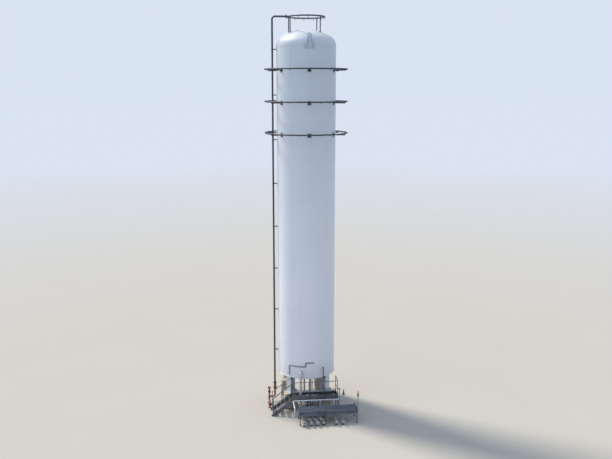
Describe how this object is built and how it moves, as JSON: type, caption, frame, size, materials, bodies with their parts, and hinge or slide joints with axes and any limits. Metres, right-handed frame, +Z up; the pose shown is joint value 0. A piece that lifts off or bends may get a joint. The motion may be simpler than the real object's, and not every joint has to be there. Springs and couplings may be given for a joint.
{
  "type": "vertical cryogenic gas storage tank",
  "caption": "Tall white vertical cylinder with domed ends on legs and concrete piers, with water spray rings, riser, valve platform, stair and finned vaporizer.",
  "frame": {"origin": "on the ground, in the middle of the footprint of tank, stair and vaporizer", "axes": "+Z up along the tank; the side with the platform and the vaporizer faces -Y; the stair goes down towards -X"},
  "size_m": [5.655, 6.98, 24.935],
  "materials": {
    "white_tank_paint": "satin white coat, slightly weathered",
    "grey_steel_paint": "satin grey coat",
    "galvanized_steel": "hot-dip galvanized, dulled",
    "cast_concrete": "cast concrete, rough",
    "pipe_cladding": "sheet jacket over insulation, satin",
    "fin_aluminium": "extruded, dull and weathered",
    "red_pipe_paint": "gloss coat, faded",
    "dark_steel": "satin dark coat",
    "steel_grating": "galvanized bar grating, dull"
  },
  "bodies": {
    "root": {"shell_lower": "white_tank_paint", "shell_middle": "white_tank_paint", "shell_upper": "white_tank_paint", "top_head": "white_tank_paint", "bottom_head": "white_tank_paint", "base_ring": "white_tank_paint", "leg_front_left": "white_tank_paint", "pier_front_left": "cast_concrete", "leg_front_right": "white_tank_paint", "pier_front_right": "cast_concrete", "leg_back_right": "white_tank_paint", "pier_back_right": "cast_concrete", "leg_back_left": "white_tank_paint", "pier_back_left": "cast_concrete", "lifting_lug_front": "white_tank_paint", "lifting_lug_back": "white_tank_paint", "fill_port": "white_tank_paint", "deluge_supply": "red_pipe_paint", "deluge_valve": "red_pipe_paint", "deluge_riser": "galvanized_steel", "spray_ring_lower": "galvanized_steel", "spray_ring_middle": "galvanized_steel", "spray_ring_upper": "galvanized_steel", "top_spray_ring": "galvanized_steel", "platform_frame": "grey_steel_paint", "platform_deck": "steel_grating", "platform_railing": "grey_steel_paint", "stair_flight": "grey_steel_paint", "stair_rail_front": "grey_steel_paint", "stair_rail_back": "grey_steel_paint", "vaporizer_row_lower": "fin_aluminium", "vaporizer_row_upper": "fin_aluminium", "vaporizer_frame_left": "dark_steel", "vaporizer_frame_middle": "dark_steel", "vaporizer_frame_right": "dark_steel", "liquid_line": "pipe_cladding", "liquid_valve": "dark_steel", "liquid_outlet": "pipe_cladding", "return_line": "pipe_cladding", "fill_line": "pipe_cladding", "vaporizer_gas_line": "pipe_cladding", "vaporizer_feed_line": "pipe_cladding", "drain_line": "pipe_cladding", "overflow_line": "pipe_cladding", "gauge_line": "white_tank_paint"}
  },
  "joints": []
}
